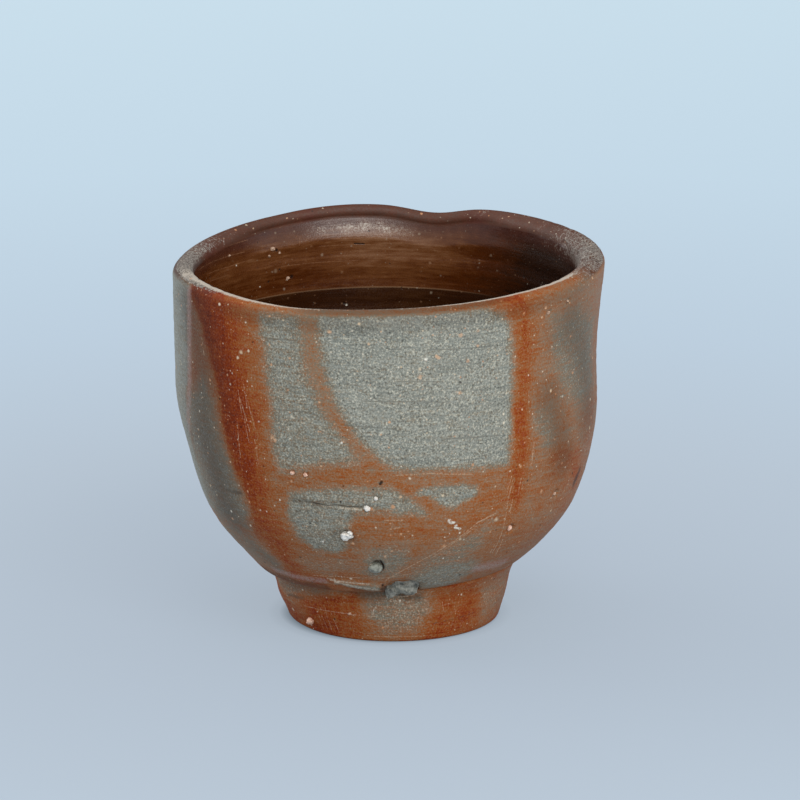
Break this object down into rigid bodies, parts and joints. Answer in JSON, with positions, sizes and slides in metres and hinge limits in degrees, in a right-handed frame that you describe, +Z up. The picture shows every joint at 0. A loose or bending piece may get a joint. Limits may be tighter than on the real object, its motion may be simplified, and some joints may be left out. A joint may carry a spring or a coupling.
{
  "type": "sake cup",
  "caption": "Small handleless sake cup: a rounded, hand-pressed stoneware bowl with a wavy lip, luted to a short tapered foot ring, with stones bedded in the clay.",
  "frame": {"origin": "middle of the foot's resting face, on the table", "axes": "+Z up through the cup's axis, +X to the right of the pictured front, -Y towards the viewer"},
  "size_m": [0.0678, 0.068, 0.0591],
  "materials": {
    "bowl_clay": "unglazed wood-fired stoneware, ash grey with orange and dark red fire-cord streaks",
    "foot_clay": "unglazed wood-fired stoneware, orange brown",
    "grey_stone": "matt broken stone",
    "white_stone": "matt white feldspar",
    "pink_stone": "matt pink feldspar",
    "pale_grit": "matt sand grain"
  },
  "bodies": {
    "root": {"bowl": "bowl_clay", "foot_ring": "foot_clay", "joint_stone": "grey_stone", "large_white_stone": "white_stone", "small_white_stone": "white_stone", "white_chip": "white_stone", "pink_stones": "pink_stone", "grey_pebble": "grey_stone", "side_stone": "pink_stone", "slit_grain": "pale_grit", "foot_stone": "pink_stone", "rim_grit": "pale_grit", "inside_grit": "pale_grit", "foot_grit": "pale_grit"}
  },
  "joints": []
}
